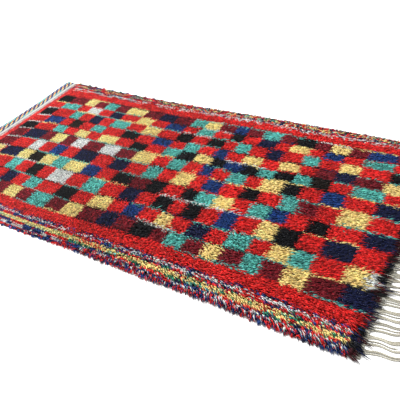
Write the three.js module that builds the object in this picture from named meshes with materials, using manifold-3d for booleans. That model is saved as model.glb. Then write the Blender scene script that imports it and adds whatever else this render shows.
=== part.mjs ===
// A checkered knotted-pile rug, lying flat on the floor.
// It has three pieces: the lumpy pile with loose locks at its rim, the flat-woven heading at one end, and
// at the other end a narrow woven strip that carries the warp fringe.
// Millimetres, +Z up. The origin is on the underside at the centre of the cloth. +X runs along the warps
// towards the fringe, and +Y across the rug towards its far side edge.
import * as THREE from "three";
import { mergeVertices } from "three/addons/utils/BufferGeometryUtils.js";
import Module from "manifold-3d";

const wasm = await Module();
wasm.setup();

// Cloth sizes
const CLOTH_LENGTH = 2760;
const CLOTH_WIDTH = 1500;
const HEADING_LENGTH = 105;
const STRIP_LENGTH = 42;
const FRINGE_LENGTH = 155;
const PIECE_GAP = 0.3;

// Layout of the field: the checks of one strip follow each other along +X, and the strips lie side by
// side from the far edge to the near one.
const RED_LINE = 38;
const CHECK_LENGTHS = [
  118, 147, 88, 96, 94, 98, 140, 123, 120, 131, 103, 105, 110, 81, 103, 107, 96, 118, 96, 112, 110, 156, 120,
];
const FAR_BORDER = 167;
const STRIP_WIDTHS = [91, 84, 100, 91, 89, 111, 117, 108, 125, 109, 108];
const BORDER_SHARES = [0, 0.13, 0.55];
const BORDER_STEPS = BORDER_SHARES.length;
const END_ROWS = 18;
const STRIP_SAG = 78;
const SAG_FADE = 270;
const STRIP_RISE = 28;
const CHECK_LEAN = 50;

// Thickness of the cloth and its pile
const FOUNDATION = 4;
const SHORT_PILE = 8.5;
const LONG_PILE = 17;
const CHECK_PUFF = 2.8;
const LUMP = 1.6;
const RIM_INSET = 12;
const RIM_DROP = 0.62;
const WALL_HEIGHT = 6;
const BURIED = 6;

// Fringe
const STRAND_WIDTH = 5.6;
const STRAND_HEIGHT = 4.6;
const STRAND_STEPS = 4;
const LOOP_STEPS = 6;
const STRAND_PITCH = 9;
const STRAND_ROOT = 4;
const FRINGE_GROUPS = 40;
const GROUP_SIZES = [3, 2, 3, 2, 2, 3];
const LOOP_EVERY = 4;
const GROUP_SPREAD = 1.5;
const SWEEP = 30;
const WAVE_HEIGHT = 12;
const WAVE_SPAN = 720;
const TIP_HOOK = 15;

const LEFT_END = -CLOTH_LENGTH / 2;
const PILE_START = LEFT_END + HEADING_LENGTH;
const PILE_END = CLOTH_LENGTH / 2;
const HALF_WIDTH = CLOTH_WIDTH / 2;

// Flat-woven bands of the heading, from the outer edge inwards: raised cord rows, then plain ribs.
const HEADING_BANDS = [
  { ribs: 5, width: 62, crest: 5.4, valley: 3.4, steps: 3 },
  { ribs: 2, width: 26, crest: 3.9, valley: 3.2, steps: 2 },
  { ribs: 2, width: 16.7, crest: 4.3, valley: 3.1, steps: 2 },
];

// Rows of loose locks along the rim of the pile: where each row starts and ends, how many locks it has,
// how far they reach out, how wide and thick they are, and how high root and tip lie.
const LOCK_ROWS = [
  { edge: "near", start: -1245, end: 30, count: 24, reach: 20, width: 18, thick: 7, rise: 7, tip: 2 },
  { edge: "near", start: 75, end: 1345, count: 34, reach: 33, width: 22, thick: 9, rise: 9, tip: 1.6 },
  { edge: "far", start: -1240, end: 1340, count: 34, reach: 18, width: 18, thick: 7, rise: 8, tip: 3 },
  { edge: "end", start: -722, end: 722, count: 40, reach: 36, width: 22, thick: 8, rise: 12, tip: 7.6 },
];
const LOCK_ROOT = 14;
const LOCK_FULLNESS = 1.7;

// Repeatable scatter between 0 and 1
function scatter(seed) {
  const wave = Math.sin(seed * 12.9898 + 4.137) * 43758.5453;
  return wave - Math.floor(wave);
}

function smoothStep(low, high, value) {
  return THREE.MathUtils.smoothstep(value, low, high);
}

// Side edges wander as they do on a hand-woven cloth: the far one is drawn in a little past the middle.
function sideEdge(side, x) {
  if (side > 0) return HALF_WIDTH - 8 + 12 * Math.sin((x - 250) / 420);
  return -HALF_WIDTH + 5 * Math.sin(x / 310 + 0.4) + 3 * Math.sin(x / 127 + 2);
}

// The outer edges of the heading and of the fringe strip bow by a few millimetres across the width, while
// the lines where they meet the pile are straight.
function endBow(y) {
  return 5 * Math.sin(y / 260 + 0.8) - 3 * Math.cos(y / 110);
}

// Stations along the pile: its start, the red line, every check's start and middle, and the last rows.
function alongStations() {
  const stations = [PILE_START, PILE_START + RED_LINE / 2];
  let x = PILE_START + RED_LINE;
  for (const length of CHECK_LENGTHS) {
    stations.push(x, x + length / 2);
    x += length;
  }
  stations.push(x, PILE_END - END_ROWS, PILE_END);
  return stations;
}

// Stations across the cloth, from the near edge to the far one, with the same spacing in all pieces.
function acrossStations() {
  const stations = BORDER_SHARES.map((share) => HALF_WIDTH - share * FAR_BORDER);
  let y = HALF_WIDTH - FAR_BORDER;
  for (const width of STRIP_WIDTHS) {
    stations.push(y, y - width / 2);
    y -= width;
  }
  const nearBorder = y + HALF_WIDTH;
  const nearStations = BORDER_SHARES.map((share) => share * nearBorder - HALF_WIDTH);
  return [...nearStations, ...[...stations, y].reverse()];
}

const ALONG = alongStations();
const ACROSS = acrossStations();

// How far the two side edges draw a place at x and y sideways.
function edgeWander(x, y) {
  const share = (HALF_WIDTH - y) / CLOTH_WIDTH;
  return THREE.MathUtils.lerp(sideEdge(1, x) - HALF_WIDTH, sideEdge(-1, x) + HALF_WIDTH, share);
}

// A place on the cloth, with its strips sagging towards the near side at the heading and rising a little
// at the fringe, its checks leaning, and its edges wandering.
function clothPlace(x, y) {
  const share = (HALF_WIDTH - y) / CLOTH_WIDTH;
  const belly = Math.sin(Math.PI * share);
  const sag = STRIP_SAG * belly * Math.exp(-(x - PILE_START) / SAG_FADE);
  const rise = STRIP_RISE * belly * smoothStep(200, PILE_END, x);
  const inside = smoothStep(0, 220, x - PILE_START) * smoothStep(0, 220, PILE_END - x);
  const lean = CHECK_LEAN * (share - 0.4) * inside;
  return new THREE.Vector2(x + lean, y - sag + rise + edgeWander(x, y));
}

// Pile height above the floor at a pair of stations: short at the heading, shaggy towards the fringe,
// with each check a soft puff.
function pileTop(i, j) {
  const x = ALONG[i];
  const base = FOUNDATION + THREE.MathUtils.lerp(SHORT_PILE, LONG_PILE, smoothStep(-650, 650, x));
  const inField = j > BORDER_STEPS - 1 && j < ACROSS.length - BORDER_STEPS;
  const middles = (i % 2) + ((j - BORDER_STEPS) % 2 === 0 ? 0 : 1);
  const puff = inField ? CHECK_PUFF * (middles / 2 - 0.4) : 0;
  return base + puff + LUMP * (2 * scatter(i * 31 + j * 7) - 1);
}

// A unit box whose grid points are moved to the places that `place(i, j, level)` gives, level 0 being the
// bottom, 1 the rim and 2 the top. Its bottom is then cut off level with the floor.
function wovenSlab(alongSteps, acrossSteps, place) {
  const box = new THREE.BoxGeometry(1, 1, 1, alongSteps, acrossSteps, 2);
  const points = box.getAttribute("position");
  for (let n = 0; n < points.count; n++) {
    const i = Math.round((points.getX(n) + 0.5) * alongSteps);
    const j = Math.round((points.getY(n) + 0.5) * acrossSteps);
    const level = Math.round((points.getZ(n) + 0.5) * 2);
    const spot = place(i, j, level);
    points.setXYZ(n, spot.x, spot.y, spot.z);
  }
  const floorBlock = new THREE.BoxGeometry(2 * CLOTH_LENGTH, 2 * CLOTH_WIDTH, 4 * BURIED);
  floorBlock.translate(0, 0, -2 * BURIED);
  return solidOf(box).subtract(solidOf(floorBlock));
}

function solidOf(geometry) {
  const bare = geometry.clone();
  bare.deleteAttribute("normal");
  bare.deleteAttribute("uv");
  const merged = mergeVertices(bare, 1e-3);
  return new wasm.Manifold(
    new wasm.Mesh({
      numProp: 3,
      vertProperties: merged.getAttribute("position").array,
      triVerts: new Uint32Array(merged.index.array),
    }),
  );
}

function geometryOf(solid) {
  const mesh = solid.getMesh();
  const geometry = new THREE.BufferGeometry();
  geometry.setAttribute("position", new THREE.BufferAttribute(mesh.vertProperties, 3));
  geometry.setIndex(new THREE.BufferAttribute(mesh.triVerts, 1));
  geometry.computeVertexNormals();
  return geometry;
}

function joined(solids) {
  return solids.reduce((sum, solid) => sum.add(solid));
}

// The pile without its locks. Its long sides round over, and its ends stand straight beside the pieces
// that meet them.
function pileSlab() {
  const alongSteps = ALONG.length - 1;
  const acrossSteps = ACROSS.length - 1;
  return wovenSlab(alongSteps, acrossSteps, (i, j, level) => {
    const spot = clothPlace(ALONG[i], ACROSS[j]);
    const sideRim = j === 0 ? 1 : j === acrossSteps ? -1 : 0;
    const endRim = i === 0 ? 1 : i === alongSteps ? -1 : 0;
    if (level === 0) return new THREE.Vector3(spot.x, spot.y, -BURIED);
    if (level === 1) return new THREE.Vector3(spot.x, spot.y, WALL_HEIGHT);
    const drop = sideRim || endRim ? RIM_DROP : 1;
    const inset = new THREE.Vector2(endRim, sideRim).multiplyScalar(RIM_INSET);
    return new THREE.Vector3(spot.x + inset.x, spot.y + inset.y, pileTop(i, j) * drop);
  });
}

// A loose lock: a flat three-sided cone, full to the middle, whose root is in the pile and whose tip bends
// down.
function lock({ root, heading, reach, width, thick, tip }) {
  const cone = new THREE.ConeGeometry(1 / Math.sqrt(3), 1, 3, 2);
  const points = cone.getAttribute("position");
  const forward = new THREE.Vector2(Math.cos(heading), Math.sin(heading));
  const length = reach + LOCK_ROOT;
  for (let n = 0; n < points.count; n++) {
    const along = points.getY(n) + 0.5;
    const full = along > 0.4 && along < 0.6 ? LOCK_FULLNESS : 1;
    const side = points.getX(n) * width * full;
    const bend = (root.z - tip) * along * along;
    points.setXYZ(
      n,
      root.x + forward.x * (along * length - LOCK_ROOT) + forward.y * side,
      root.y + forward.y * (along * length - LOCK_ROOT) - forward.x * side,
      root.z - bend + points.getZ(n) * thick,
    );
  }
  return solidOf(cone);
}

function locksOf(row, rowIndex) {
  const headings = { near: -Math.PI / 2, far: Math.PI / 2, end: 0 };
  return Array.from({ length: row.count }, (unused, k) => {
    const seed = 100 * rowIndex + k;
    const pitch = (row.end - row.start) / (row.count - 1);
    const place = row.start + pitch * (k + 0.3 * (scatter(seed) - 0.5));
    const onEnd = row.edge === "end";
    const spot = onEnd
      ? new THREE.Vector2(PILE_END, place)
      : new THREE.Vector2(place, sideEdge(row.edge === "far" ? 1 : -1, place));
    const turnTowardsFringe = row.edge === "near" ? 0.3 : row.edge === "far" ? -0.3 : -0.12;
    return lock({
      root: new THREE.Vector3(spot.x, spot.y, row.rise),
      heading: headings[row.edge] + turnTowardsFringe + 0.5 * (scatter(seed + 0.5) - 0.5),
      reach: row.reach * (0.7 + 0.6 * scatter(seed + 0.25)),
      width: row.width,
      thick: row.thick,
      tip: row.tip,
    });
  });
}

// Stations of the heading: each rib has a valley on either side of its crest.
function headingStations() {
  const stations = [{ x: LEFT_END, z: HEADING_BANDS[0].valley }];
  let x = LEFT_END;
  for (const band of HEADING_BANDS) {
    const step = band.width / band.ribs / band.steps;
    for (let k = 1; k <= band.ribs * band.steps; k++) {
      x += step;
      stations.push({ x, z: k % band.steps === 0 ? band.valley : band.crest });
    }
  }
  return stations;
}

function headingSlab() {
  const stations = headingStations();
  return wovenSlab(stations.length - 1, ACROSS.length - 1, (i, j, level) => {
    const y = ACROSS[j];
    const { x, z } = stations[i];
    const bow = (endBow(y) * (PILE_START - x)) / HEADING_LENGTH;
    const height = [-BURIED, z / 2, z][level];
    return new THREE.Vector3(x + bow, y + edgeWander(PILE_START, y), height);
  });
}

const STRIP_STATIONS = [0, 0.2, 0.5, 0.8, 1];
const STRIP_HEIGHTS = [3.4, 4.4, 3.6, 4.6, 4.9];

function stripSlab() {
  const start = PILE_END + PIECE_GAP;
  return wovenSlab(STRIP_STATIONS.length - 1, ACROSS.length - 1, (i, j, level) => {
    const y = ACROSS[j];
    const x = start + STRIP_STATIONS[i] * (STRIP_LENGTH + endBow(y));
    const height = [-BURIED, STRIP_HEIGHTS[i] / 2, STRIP_HEIGHTS[i]][level];
    return new THREE.Vector3(x, y + edgeWander(PILE_END, y), height);
  });
}

// Sideways drift of the fringe at a distance from the strip. It is swept towards the far side, and
// neighbours drift together, so none cross.
function fringeDrift(y, distance) {
  const share = Math.max(distance, 0) / FRINGE_LENGTH;
  const wave = Math.sin(2 * Math.PI * (1.1 * share + y / WAVE_SPAN));
  const hook = smoothStep(0.55, 1, share) * (0.4 + Math.sin(y / 190 + 1));
  return SWEEP * share + WAVE_HEIGHT * share * wave - TIP_HOOK * hook;
}

// Middle line of one strand, which rests level on the floor.
function strandPath(y, length, spread) {
  const points = [];
  for (let k = 0; k <= STRAND_STEPS; k++) {
    const share = k / STRAND_STEPS;
    const distance = share * (length + STRAND_ROOT) - STRAND_ROOT;
    const x = PILE_END + PIECE_GAP + STRIP_LENGTH + endBow(y) + distance;
    points.push(new THREE.Vector3(x, y + spread * share + fringeDrift(y, distance), 0));
  }
  return new THREE.CatmullRomCurve3(points);
}

// A three-sided strand with its flat side down.
function strandAlong(path, steps) {
  const half = STRAND_WIDTH / 2;
  const section = new THREE.Shape([
    new THREE.Vector2(0, -half),
    new THREE.Vector2(-STRAND_HEIGHT, 0),
    new THREE.Vector2(0, half),
  ]);
  return solidOf(new THREE.ExtrudeGeometry(section, { steps, extrudePath: path, bevelEnabled: false }));
}

// The uncut turn that joins two neighbouring strands at their tips.
function loopBend(pathA, pathB) {
  const a = pathA.getPoint(1);
  const b = pathB.getPoint(1);
  const middle = a.clone().add(b).multiplyScalar(0.5);
  const radius = a.distanceTo(b) / 2;
  const out = pathA.getTangent(1).add(pathB.getTangent(1)).normalize();
  const across = a.clone().sub(middle).normalize();
  const points = [];
  for (let k = 0; k <= LOOP_STEPS; k++) {
    const angle = (Math.PI * k) / LOOP_STEPS;
    const reach = Math.sin(angle) * radius * 1.3 - 2;
    points.push(
      middle
        .clone()
        .addScaledVector(across, Math.cos(angle) * radius)
        .addScaledVector(out, reach),
    );
  }
  return strandAlong(new THREE.CatmullRomCurve3(points), LOOP_STEPS);
}

function fringe() {
  const solids = [];
  const groupPitch = (CLOTH_WIDTH - 40) / FRINGE_GROUPS;
  for (let g = 0; g < FRINGE_GROUPS; g++) {
    const size = GROUP_SIZES[g % GROUP_SIZES.length];
    const centre = -HALF_WIDTH + 20 + groupPitch * (g + 0.5);
    const length = FRINGE_LENGTH * (0.86 + 0.26 * scatter(900 + g));
    const paths = [];
    for (let k = 0; k < size; k++) {
      const offset = k - (size - 1) / 2;
      const loose = g % LOOP_EVERY === 0 ? 0 : 10 * (scatter(g * 5 + k) - 0.5);
      paths.push(strandPath(centre + offset * STRAND_PITCH, length + loose, offset * GROUP_SPREAD));
    }
    solids.push(...paths.map((path) => strandAlong(path, STRAND_STEPS)));
    if (g % LOOP_EVERY === 0) solids.push(loopBend(paths[0], paths[1]));
  }
  return solids;
}

function clothMesh(name, solid, color, roughness) {
  const material = new THREE.MeshStandardMaterial({ color, roughness, metalness: 0 });
  const mesh = new THREE.Mesh(geometryOf(solid), material);
  mesh.name = name;
  return mesh;
}

const rug = new THREE.Group();
rug.add(
  clothMesh("pile_body", joined([pileSlab(), ...LOCK_ROWS.flatMap(locksOf)]), "#c4302e", 0.95),
  clothMesh("flatweave_end", headingSlab(), "#cdc6b6", 0.9),
  clothMesh("warp_fringe", joined([stripSlab(), ...fringe()]), "#d8d3c4", 0.92),
);

export default rug;
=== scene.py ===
import logging
import math
from collections.abc import Callable
from dataclasses import dataclass, field
from enum import Enum

import bmesh
import bpy
import numpy as np
from mathutils import Matrix, Vector


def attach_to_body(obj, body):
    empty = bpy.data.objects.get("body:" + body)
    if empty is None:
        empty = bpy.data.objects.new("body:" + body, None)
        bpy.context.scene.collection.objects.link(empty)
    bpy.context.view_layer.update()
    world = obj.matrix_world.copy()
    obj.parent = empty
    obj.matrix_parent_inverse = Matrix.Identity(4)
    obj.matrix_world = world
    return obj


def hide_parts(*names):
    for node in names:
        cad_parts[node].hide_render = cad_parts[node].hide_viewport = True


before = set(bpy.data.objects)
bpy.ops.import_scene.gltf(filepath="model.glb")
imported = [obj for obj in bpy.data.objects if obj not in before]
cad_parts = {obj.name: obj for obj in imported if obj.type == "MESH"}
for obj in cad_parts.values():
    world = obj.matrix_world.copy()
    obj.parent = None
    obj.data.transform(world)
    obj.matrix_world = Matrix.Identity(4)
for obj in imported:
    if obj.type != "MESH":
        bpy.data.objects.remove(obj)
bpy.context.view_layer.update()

MM = 0.001
LOG = logging.getLogger("rug")
# How far the cloth's underside lies above the floor
FLOOR_GAP = 0.0003
# Short names for types
Array = np.ndarray
Finish = bpy.types.Material
Piece = bpy.types.Object


class Dye(Enum):
    """Yarns of the rug, by dye, as sRGB hex values."""

    MADDER = "#e42a28"
    MAROON = "#851b28"
    OXBLOOD = "#430d17"
    NAVY = "#161e46"
    INK = "#0d0e14"
    UMBER = "#221811"
    TEAL = "#62c0b6"
    STRAW = "#f4d88c"
    CREAM = "#e2e6e2"
    BLUE = "#1c4182"
    GREEN = "#2a8a63"
    ROSE = "#e09a95"
    ORANGE = "#e07a32"
    NATURAL = "#9b9b94"
    GREIGE = "#d2cdbc"


DYES = list(Dye)
# The dyes by their short names, for the tables below
(MADDER, MAROON, OXBLOOD, NAVY, INK, UMBER, TEAL, STRAW, CREAM, BLUE, GREEN, ROSE, ORANGE, NATURAL,
 GREIGE) = DYES


def linear(hex_colour: str) -> Array:
    """Turns an sRGB hex colour to linear light.

    Args:
        hex_colour: The colour as #rrggbb.

    Returns:
        Three linear numbers from 0 to 1.
    """
    srgb = np.array([int(hex_colour[k : k + 2], 16) / 255 for k in (1, 3, 5)])
    return np.where(srgb <= 0.04045, srgb / 12.92, ((srgb + 0.055) / 1.055) ** 2.4)


DYE_LIGHT = np.array([linear(dye.value) for dye in DYES])


def code(dye: Dye) -> int:
    """Gives a dye's place in DYE_LIGHT."""
    return DYES.index(dye)


def scatter(seed: Array | float) -> Array:
    """Gives a repeatable number from 0 to 1 for each seed, as the solids do.

    Callers mix places into one seed with small factors, which mean nothing else.

    Args:
        seed: Any numbers.

    Returns:
        One number for each seed.
    """
    wave = np.sin(np.asarray(seed, float) * 12.9898 + 4.137) * 43758.5453
    return wave - np.floor(wave)


def smooth_step(low: float, high: float, value: Array) -> Array:
    """Rises smoothly from 0 at low to 1 at high."""
    share = np.clip((np.asarray(value, float) - low) / (high - low), 0, 1)
    return share * share * (3 - 2 * share)


def blend(low: Array, high: Array, share: Array) -> Array:
    """Mixes two values by a share."""
    return low + (high - low) * share


def unit(vectors: Array) -> Array:
    """Scales vectors to a length of one."""
    return vectors / (np.linalg.norm(vectors, axis=-1, keepdims=True) + 1e-12)


# How much of its light a yarn keeps where it is beaten flat, and the share of all other yarns
FLAT_SHARES = {NATURAL: 1.0, GREIGE: 0.7, CREAM: 0.68, ORANGE: 0.65, STRAW: 0.75, ROSE: 0.6}
FLAT_SHARE = 0.9


def flat_light(dyes: Array) -> Array:
    """Gives the linear colours of yarns that are beaten flat, so they lack the pile's depth."""
    shares = np.array([FLAT_SHARES.get(dye, FLAT_SHARE) for dye in DYES])
    return DYE_LIGHT[dyes] * shares[dyes][..., None]


def pick(yarns: tuple[tuple[Dye, int], ...], chance: Array) -> Array:
    """Picks one of some weighted yarns for each chance.

    Args:
        yarns: Dyes with their weights.
        chance: Numbers from 0 to 1.

    Returns:
        One dye code for each chance.
    """
    codes = np.repeat([code(dye) for dye, _ in yarns], [weight for _, weight in yarns])
    return codes[np.minimum((chance * len(codes)).astype(int), len(codes) - 1)]


@dataclass(frozen=True)
class ClothLayout:
    """Where the checks, strips and borders lie on the cloth, in metres, as in the solids.

    The wander of its edges is given in millimetres: a height, a span, and a shift of each sine.
    """

    length: float = 2.760
    width: float = 1.500
    heading: float = 0.105
    strip_length: float = 0.042
    gap: float = 0.0003
    red_line: float = 0.038
    check_lengths: tuple[float, ...] = (
        0.118, 0.147, 0.088, 0.096, 0.094, 0.098, 0.140, 0.123, 0.120, 0.131, 0.103, 0.105,
        0.110, 0.081, 0.103, 0.107, 0.096, 0.118, 0.096, 0.112, 0.110, 0.156, 0.120,
    )
    far_border: float = 0.167
    strip_widths: tuple[float, ...] = (
        0.091, 0.084, 0.100, 0.091, 0.089, 0.111, 0.117, 0.108, 0.125, 0.109, 0.108,
    )
    border_shares: tuple[float, ...] = (0, 0.13, 0.55)
    end_rows: float = 0.018
    strip_sag: float = 0.078
    sag_fade: float = 0.270
    strip_rise: float = 0.028
    rise_start: float = 0.2
    check_lean: float = 0.050
    level_share: float = 0.4
    straight_end: float = 0.22
    foundation: float = 0.004
    short_pile: float = 0.0085
    long_pile: float = 0.017
    growth: float = 0.65
    shaggy: float = 0.75
    check_puff: float = 0.0028
    puff_base: float = 0.4
    lump: float = 0.0016
    far_wander: tuple[float, ...] = (12, 420, 250)
    far_inset: float = 8
    near_wander: tuple[float, ...] = (5, 310, 0.4)
    near_ripple: tuple[float, ...] = (3, 127, 2)
    bow: tuple[float, ...] = (5, 260, 0.8)
    bow_ripple: tuple[float, ...] = (3, 110)

    @property
    def half_width(self) -> float:
        """Half the cloth's width."""
        return self.width / 2

    @property
    def cloth_start(self) -> float:
        """Where the cloth begins at its heading."""
        return -self.length / 2

    @property
    def pile_start(self) -> float:
        """Where the pile begins beside the heading."""
        return self.heading - self.length / 2

    @property
    def pile_end(self) -> float:
        """Where the pile ends beside the fringe strip."""
        return self.length / 2

    @property
    def check_starts(self) -> Array:
        """Places along the cloth where each check begins, and where the last one ends."""
        first = self.pile_start + self.red_line
        return first + np.concatenate([[0], np.cumsum(self.check_lengths)])

    @property
    def strip_starts(self) -> Array:
        """Distances from the far edge where each strip begins, and where the last one ends."""
        return self.far_border + np.concatenate([[0], np.cumsum(self.strip_widths)])

    def shagginess(self, x: Array) -> Array:
        """Gives how shaggy the pile is, from 0 beside the heading to 1 beside the fringe."""
        return smooth_step(-self.shaggy, self.shaggy, x)

    def along_stations(self) -> Array:
        """Gives the places along the pile where the solid's height is set.

        Returns:
            The places, from the heading to the fringe.
        """
        starts = self.check_starts
        middles = (starts[:-1] + starts[1:]) / 2
        field_places = np.ravel(np.column_stack([starts[:-1], middles]))
        before = [self.pile_start, self.pile_start + self.red_line / 2]
        after = [starts[-1], self.pile_end - self.end_rows, self.pile_end]
        return np.concatenate([before, field_places, after])

    def across_stations(self) -> Array:
        """Gives the places across the cloth where the solid's height is set.

        Returns:
            The places, from the near edge to the far one.
        """
        starts = self.strip_starts
        near_border = self.width - starts[-1]
        near = [share * near_border - self.half_width for share in self.border_shares]
        far = [self.half_width - share * self.far_border for share in self.border_shares]
        middles = (starts[:-1] + starts[1:]) / 2
        field_places = np.ravel(np.column_stack([starts[:-1], middles]))
        inside = np.append(field_places, starts[-1])
        return np.concatenate([near, (self.half_width - inside)[::-1], far[::-1]])

    def side_edge(self, side: float, x: Array) -> Array:
        """Gives where a side edge lies: the far one is drawn in a little past the middle.

        Args:
            side: +1 for the far edge or -1 for the near one.
            x: Places along the cloth.

        Returns:
            The edge's places across the cloth.
        """
        millimetres = np.asarray(x, float) / MM
        if side > 0:
            height, span, start = self.far_wander
            return self.half_width + MM * (height * np.sin((millimetres - start) / span) - self.far_inset)
        waves = (self.near_wander, self.near_ripple)
        wander = sum(height * np.sin(millimetres / span + shift) for height, span, shift in waves)
        return -self.half_width + MM * wander

    def edge_wander(self, x: Array, y: Array) -> Array:
        """Gives how far the side edges draw places sideways.

        Args:
            x: Places along the cloth.
            y: Places across it.

        Returns:
            One distance for each place.
        """
        share = (self.half_width - y) / self.width
        far = self.side_edge(1, x) - self.half_width
        near = self.side_edge(-1, x) + self.half_width
        return blend(far, near, share)

    def end_bow(self, y: Array) -> Array:
        """Gives how far the cloth's outer ends bow outwards.

        Args:
            y: Places across the cloth.

        Returns:
            One distance for each place.
        """
        millimetres = np.asarray(y, float) / MM
        height, span, shift = self.bow
        bow = height * np.sin(millimetres / span + shift)
        height, span = self.bow_ripple
        return MM * (bow - height * np.cos(millimetres / span))

    def place(self, x: Array, y: Array) -> tuple[Array, Array]:
        """Moves places on the straight pile to where they lie on the floor.

        Args:
            x: Places along the straight cloth.
            y: Places across it.

        Returns:
            The places along and across the floor.
        """
        share = (self.half_width - y) / self.width
        belly = np.sin(np.pi * share)
        sag = self.strip_sag * belly * np.exp(-(x - self.pile_start) / self.sag_fade)
        rise = self.strip_rise * belly * smooth_step(self.rise_start, self.pile_end, x)
        from_end = np.minimum(x - self.pile_start, self.pile_end - x)
        lean = self.check_lean * (share - self.level_share) * smooth_step(0, self.straight_end, from_end)
        return x + lean, y - sag + rise + self.edge_wander(x, y)

    def heading_place(self, x: Array, y: Array) -> tuple[Array, Array]:
        """Moves places on the straight heading to where they lie on the floor."""
        bow = self.end_bow(y) * (self.pile_start - x) / self.heading
        return x + bow, y + self.edge_wander(self.pile_start, y)

    def strip_place(self, x: Array, y: Array) -> tuple[Array, Array]:
        """Moves places on the straight fringe strip to where they lie on the floor.

        Args:
            x: Places along the straight cloth.
            y: Places across it.

        Returns:
            The places along and across the floor.
        """
        start = self.pile_end + self.gap
        bow = self.end_bow(y) * (x - start) / self.strip_length
        return x + bow, y + self.edge_wander(self.pile_end, y)

    def pile_top(self, x: Array, y: Array) -> Array:
        """Gives the pile's height with its puffs and lumps.

        Args:
            x: Places along the straight cloth.
            y: Places across it.

        Returns:
            One height for each place.
        """
        along, across = self.along_stations(), self.across_stations()
        i, j = np.meshgrid(np.arange(len(along)), np.arange(len(across)), indexing="ij")
        growth = smooth_step(-self.growth, self.growth, along[i])
        length = blend(self.short_pile, self.long_pile, growth)
        borders = len(self.border_shares)
        in_field = (j > borders - 1) & (j < len(across) - borders)
        middles = i % 2 + ((j - borders) % 2 != 0)
        puff = np.where(in_field, self.check_puff * (middles / 2 - self.puff_base), 0)
        lumps = self.lump * (2 * scatter(i * 31 + j * 7) - 1)
        return between_stations(along, across, self.foundation + length + puff + lumps, x, y)


def between_stations(along: Array, across: Array, values: Array, x: Array, y: Array) -> Array:
    """Reads a grid of values between its stations.

    Args:
        along: The grid's places along the cloth.
        across: The grid's places across it.
        values: One value for each pair of stations.
        x: The places along the cloth to read.
        y: The places across it to read.

    Returns:
        One value for each place.
    """
    i = np.clip(np.searchsorted(along, x) - 1, 0, len(along) - 2)
    j = np.clip(np.searchsorted(across, y) - 1, 0, len(across) - 2)
    u = np.clip((x - along[i]) / (along[i + 1] - along[i]), 0, 1)
    v = np.clip((y - across[j]) / (across[j + 1] - across[j]), 0, 1)
    low = blend(values[i, j], values[i + 1, j], u)
    high = blend(values[i, j + 1], values[i + 1, j + 1], u)
    return blend(low, high, v)


# The cream wool is used up after the first third of the rug.
LAST_CREAM_COLUMN = 8


@dataclass(frozen=True)
class Round:
    """A short round of checks that a strip repeats up to a column.

    Every other check has the ground dye, in odd columns or in even ones, and the checks between take
    the accents in turn.
    """

    until: int
    ground: Dye
    ground_is_odd: bool
    accents: tuple[Dye, ...]

    def check_dye(self, column: int) -> Dye:
        """Gives the dye of a check.

        Args:
            column: The check's column, counted from the heading.

        Returns:
            Its dye.
        """
        if (column % 2 == 1) == self.ground_is_odd:
            return self.ground
        dye = self.accents[(column // 2) % len(self.accents)]
        return INK if dye is CREAM and column > LAST_CREAM_COLUMN else dye


@dataclass(frozen=True)
class BorderBand:
    """One band of a long border: its width, its yarns with their weights, and the length of a run."""

    width: float
    yarns: tuple[tuple[Dye, int], ...]
    run: float = 0.020


# Strips from the far side to the near one
STRIPS = (
    (
        Round(11, MAROON, True, (INK, STRAW, TEAL, STRAW, NAVY, TEAL)),
        Round(23, MAROON, False, (INK, STRAW, BLUE, TEAL)),
    ),
    (Round(23, MADDER, False, (TEAL, CREAM, NAVY, STRAW, BLUE)),),
    (Round(23, MADDER, True, (INK, TEAL, NAVY, TEAL, STRAW, INK)),),
    (
        Round(11, MADDER, False, (BLUE, UMBER, TEAL, INK)),
        Round(19, MADDER, False, (STRAW, TEAL, BLUE, STRAW)),
        Round(23, MAROON, True, (TEAL, STRAW, NAVY, STRAW)),
    ),
    (
        Round(10, MADDER, True, (INK, TEAL, STRAW, STRAW)),
        Round(19, INK, True, (TEAL, TEAL, STRAW, BLUE)),
        Round(23, MADDER, False, (NAVY, UMBER, TEAL, STRAW)),
    ),
    (
        Round(9, MAROON, False, (NAVY, STRAW, CREAM, CREAM)),
        Round(18, MADDER, False, (STRAW, TEAL, BLUE, TEAL)),
        Round(23, MADDER, True, (TEAL, INK, BLUE, NAVY)),
    ),
    (
        Round(10, MADDER, True, (MAROON, CREAM, BLUE, NAVY, NAVY)),
        Round(19, MADDER, True, (STRAW, BLUE, INK, TEAL, STRAW, TEAL)),
        Round(23, MADDER, False, (NAVY, MAROON, STRAW, TEAL)),
    ),
    (
        Round(8, STRAW, False, (NAVY, UMBER, TEAL, BLUE)),
        Round(15, INK, True, (MADDER, MAROON, MADDER, TEAL)),
        Round(18, MADDER, False, (TEAL, BLUE, INK, STRAW)),
        Round(23, MADDER, True, (TEAL, BLUE, INK, NAVY)),
    ),
    (
        Round(8, MADDER, True, (CREAM, TEAL, INK, CREAM)),
        Round(19, MADDER, True, (INK, INK, BLUE, STRAW, TEAL, NAVY)),
        Round(23, MADDER, False, (TEAL, INK, NAVY, STRAW)),
    ),
    (
        Round(9, MADDER, False, (UMBER, NAVY, TEAL, INK)),
        Round(20, MADDER, False, (BLUE, STRAW, NAVY, TEAL, STRAW)),
        Round(23, MADDER, True, (BLUE, NAVY, TEAL, STRAW)),
    ),
    (Round(23, MAROON, True, (CREAM, TEAL, STRAW, TEAL, STRAW, NAVY)),),
)
RED_ONLY = ((MADDER, 1),)
# Runs of single-knot lines between the strips
LINE_YARNS = (
    (TEAL, 5), (STRAW, 3), (MADDER, 4), (CREAM, 1), (NAVY, 2), (INK, 4),
)
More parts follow.
